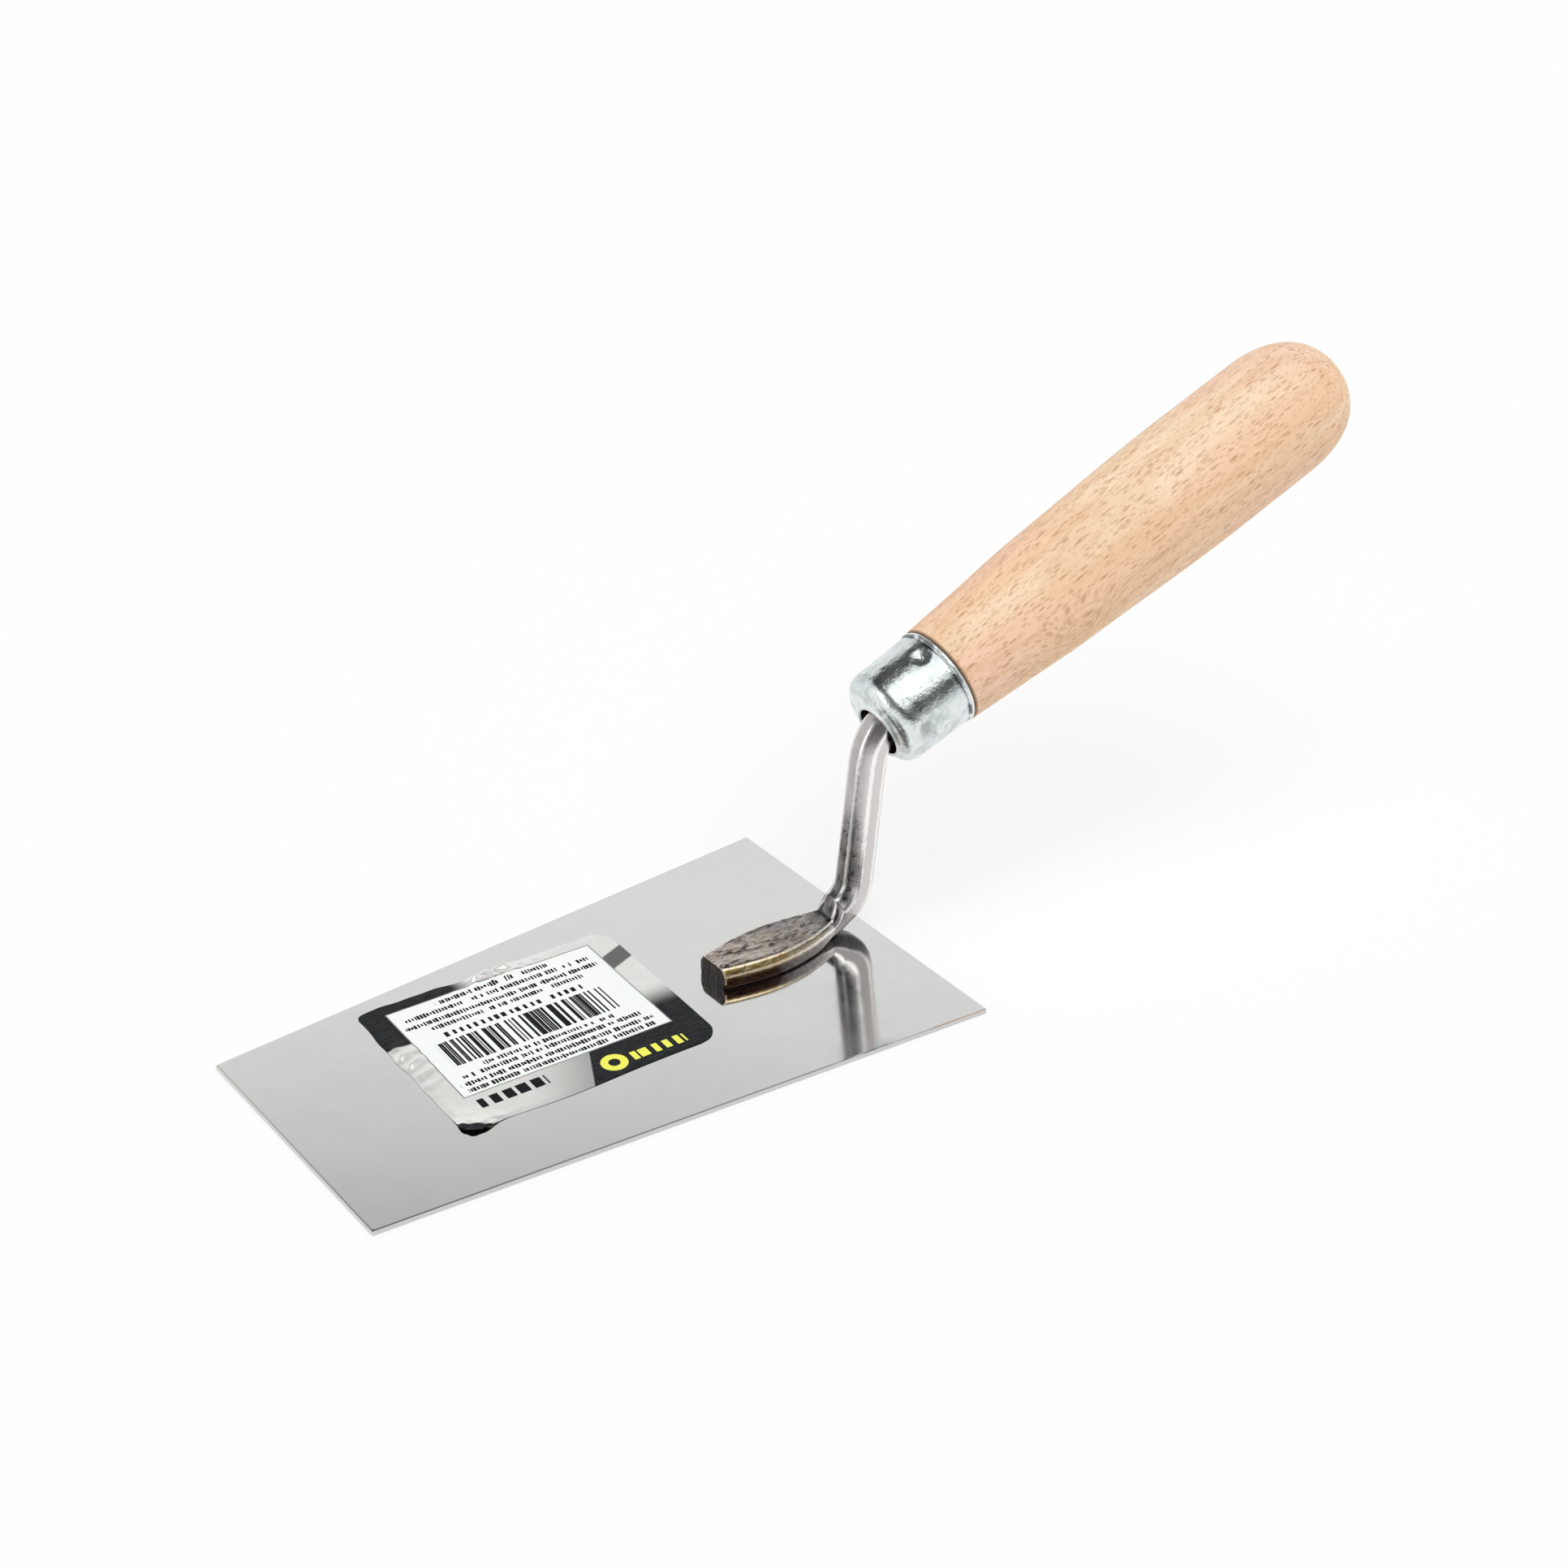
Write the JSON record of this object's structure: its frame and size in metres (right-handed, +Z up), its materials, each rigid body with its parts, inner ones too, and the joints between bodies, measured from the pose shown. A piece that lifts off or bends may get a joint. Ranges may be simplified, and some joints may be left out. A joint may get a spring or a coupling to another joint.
{
  "type": "margin trowel",
  "caption": "Flat trapezoidal steel trowel with a cranked octagonal shank, a plated ferrule and a turned wooden handle, lying on its blade.",
  "frame": {"origin": "middle of the blade's underside, halfway between the toe edge and the heel edge", "axes": "+X from the toe (narrow edge) to the heel and the handle, +Y to the left across the blade, +Z up out of the blade"},
  "size_m": [0.254, 0.0812, 0.1006],
  "materials": {
    "blade_steel": "polished sheet",
    "label_foil": "printed metallised foil",
    "shank_steel": "satin, heat tinted at the foot",
    "ferrule_zinc": "bright zinc plate",
    "handle_beech": "fine sanded, clear sealed"
  },
  "bodies": {
    "root": {"blade": "blade_steel", "label": "label_foil", "shank": "shank_steel", "ferrule": "ferrule_zinc", "handle": "handle_beech"}
  },
  "joints": []
}
